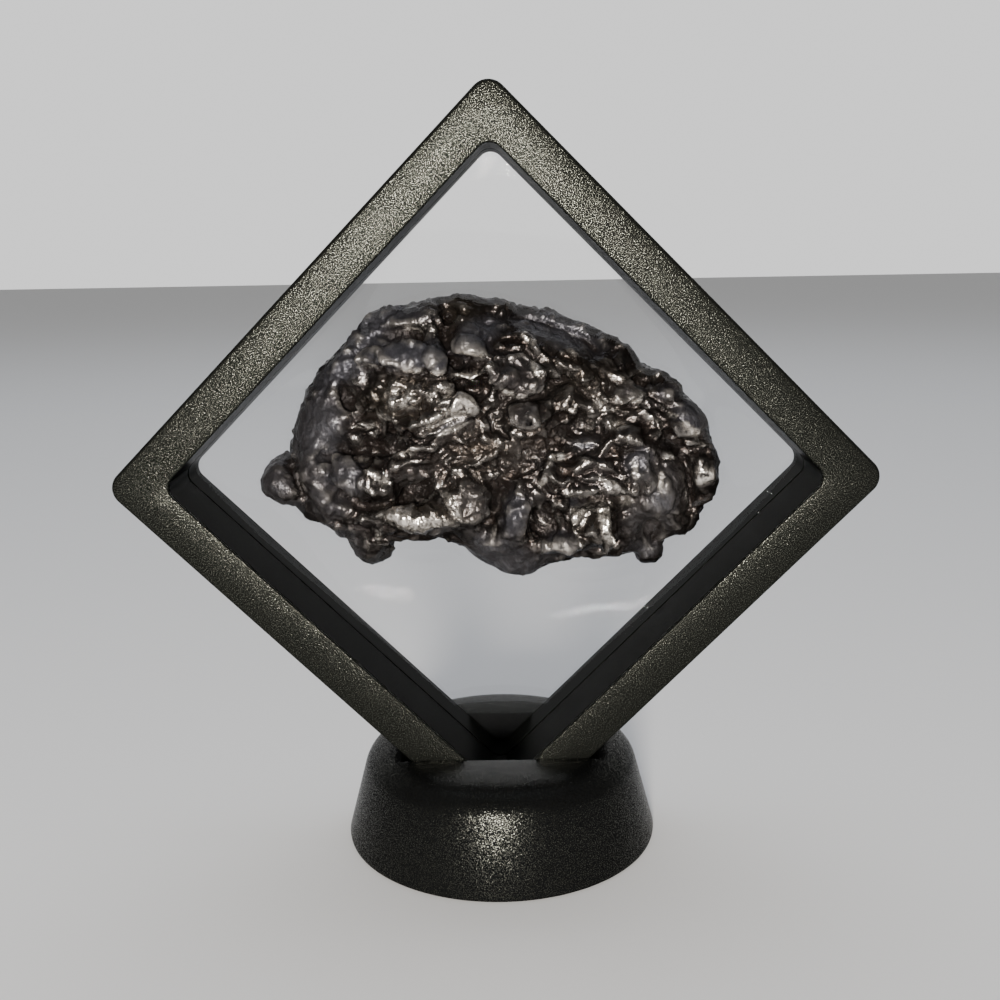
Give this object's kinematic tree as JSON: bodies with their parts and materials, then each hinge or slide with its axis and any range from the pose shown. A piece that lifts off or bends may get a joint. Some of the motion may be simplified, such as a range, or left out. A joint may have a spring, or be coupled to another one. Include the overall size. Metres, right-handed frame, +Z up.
{
  "type": "framed iron meteorite",
  "caption": "Irregular iron meteorite held between two clear elastic films in a square black frame, which stands on one corner in a round base.",
  "frame": {"origin": "centre of the base's underside, on the surface that it stands on", "axes": "+Z up, -Y towards the viewer (the front of the frame), +X to the viewer's right"},
  "size_m": [0.1248, 0.0546, 0.1273],
  "materials": {
    "iron": "dark oiled metal, glossy on the high spots",
    "film": "clear elastic film, smooth",
    "frame_plastic": "black satin moulded plastic with a fine sparkle grain",
    "base_plastic": "black satin moulded plastic"
  },
  "bodies": {
    "root": {"meteorite": "iron", "film_front": "film", "film_rear": "film", "frame_front": "frame_plastic", "frame_rear": "frame_plastic", "stand_base": "base_plastic"}
  },
  "joints": []
}
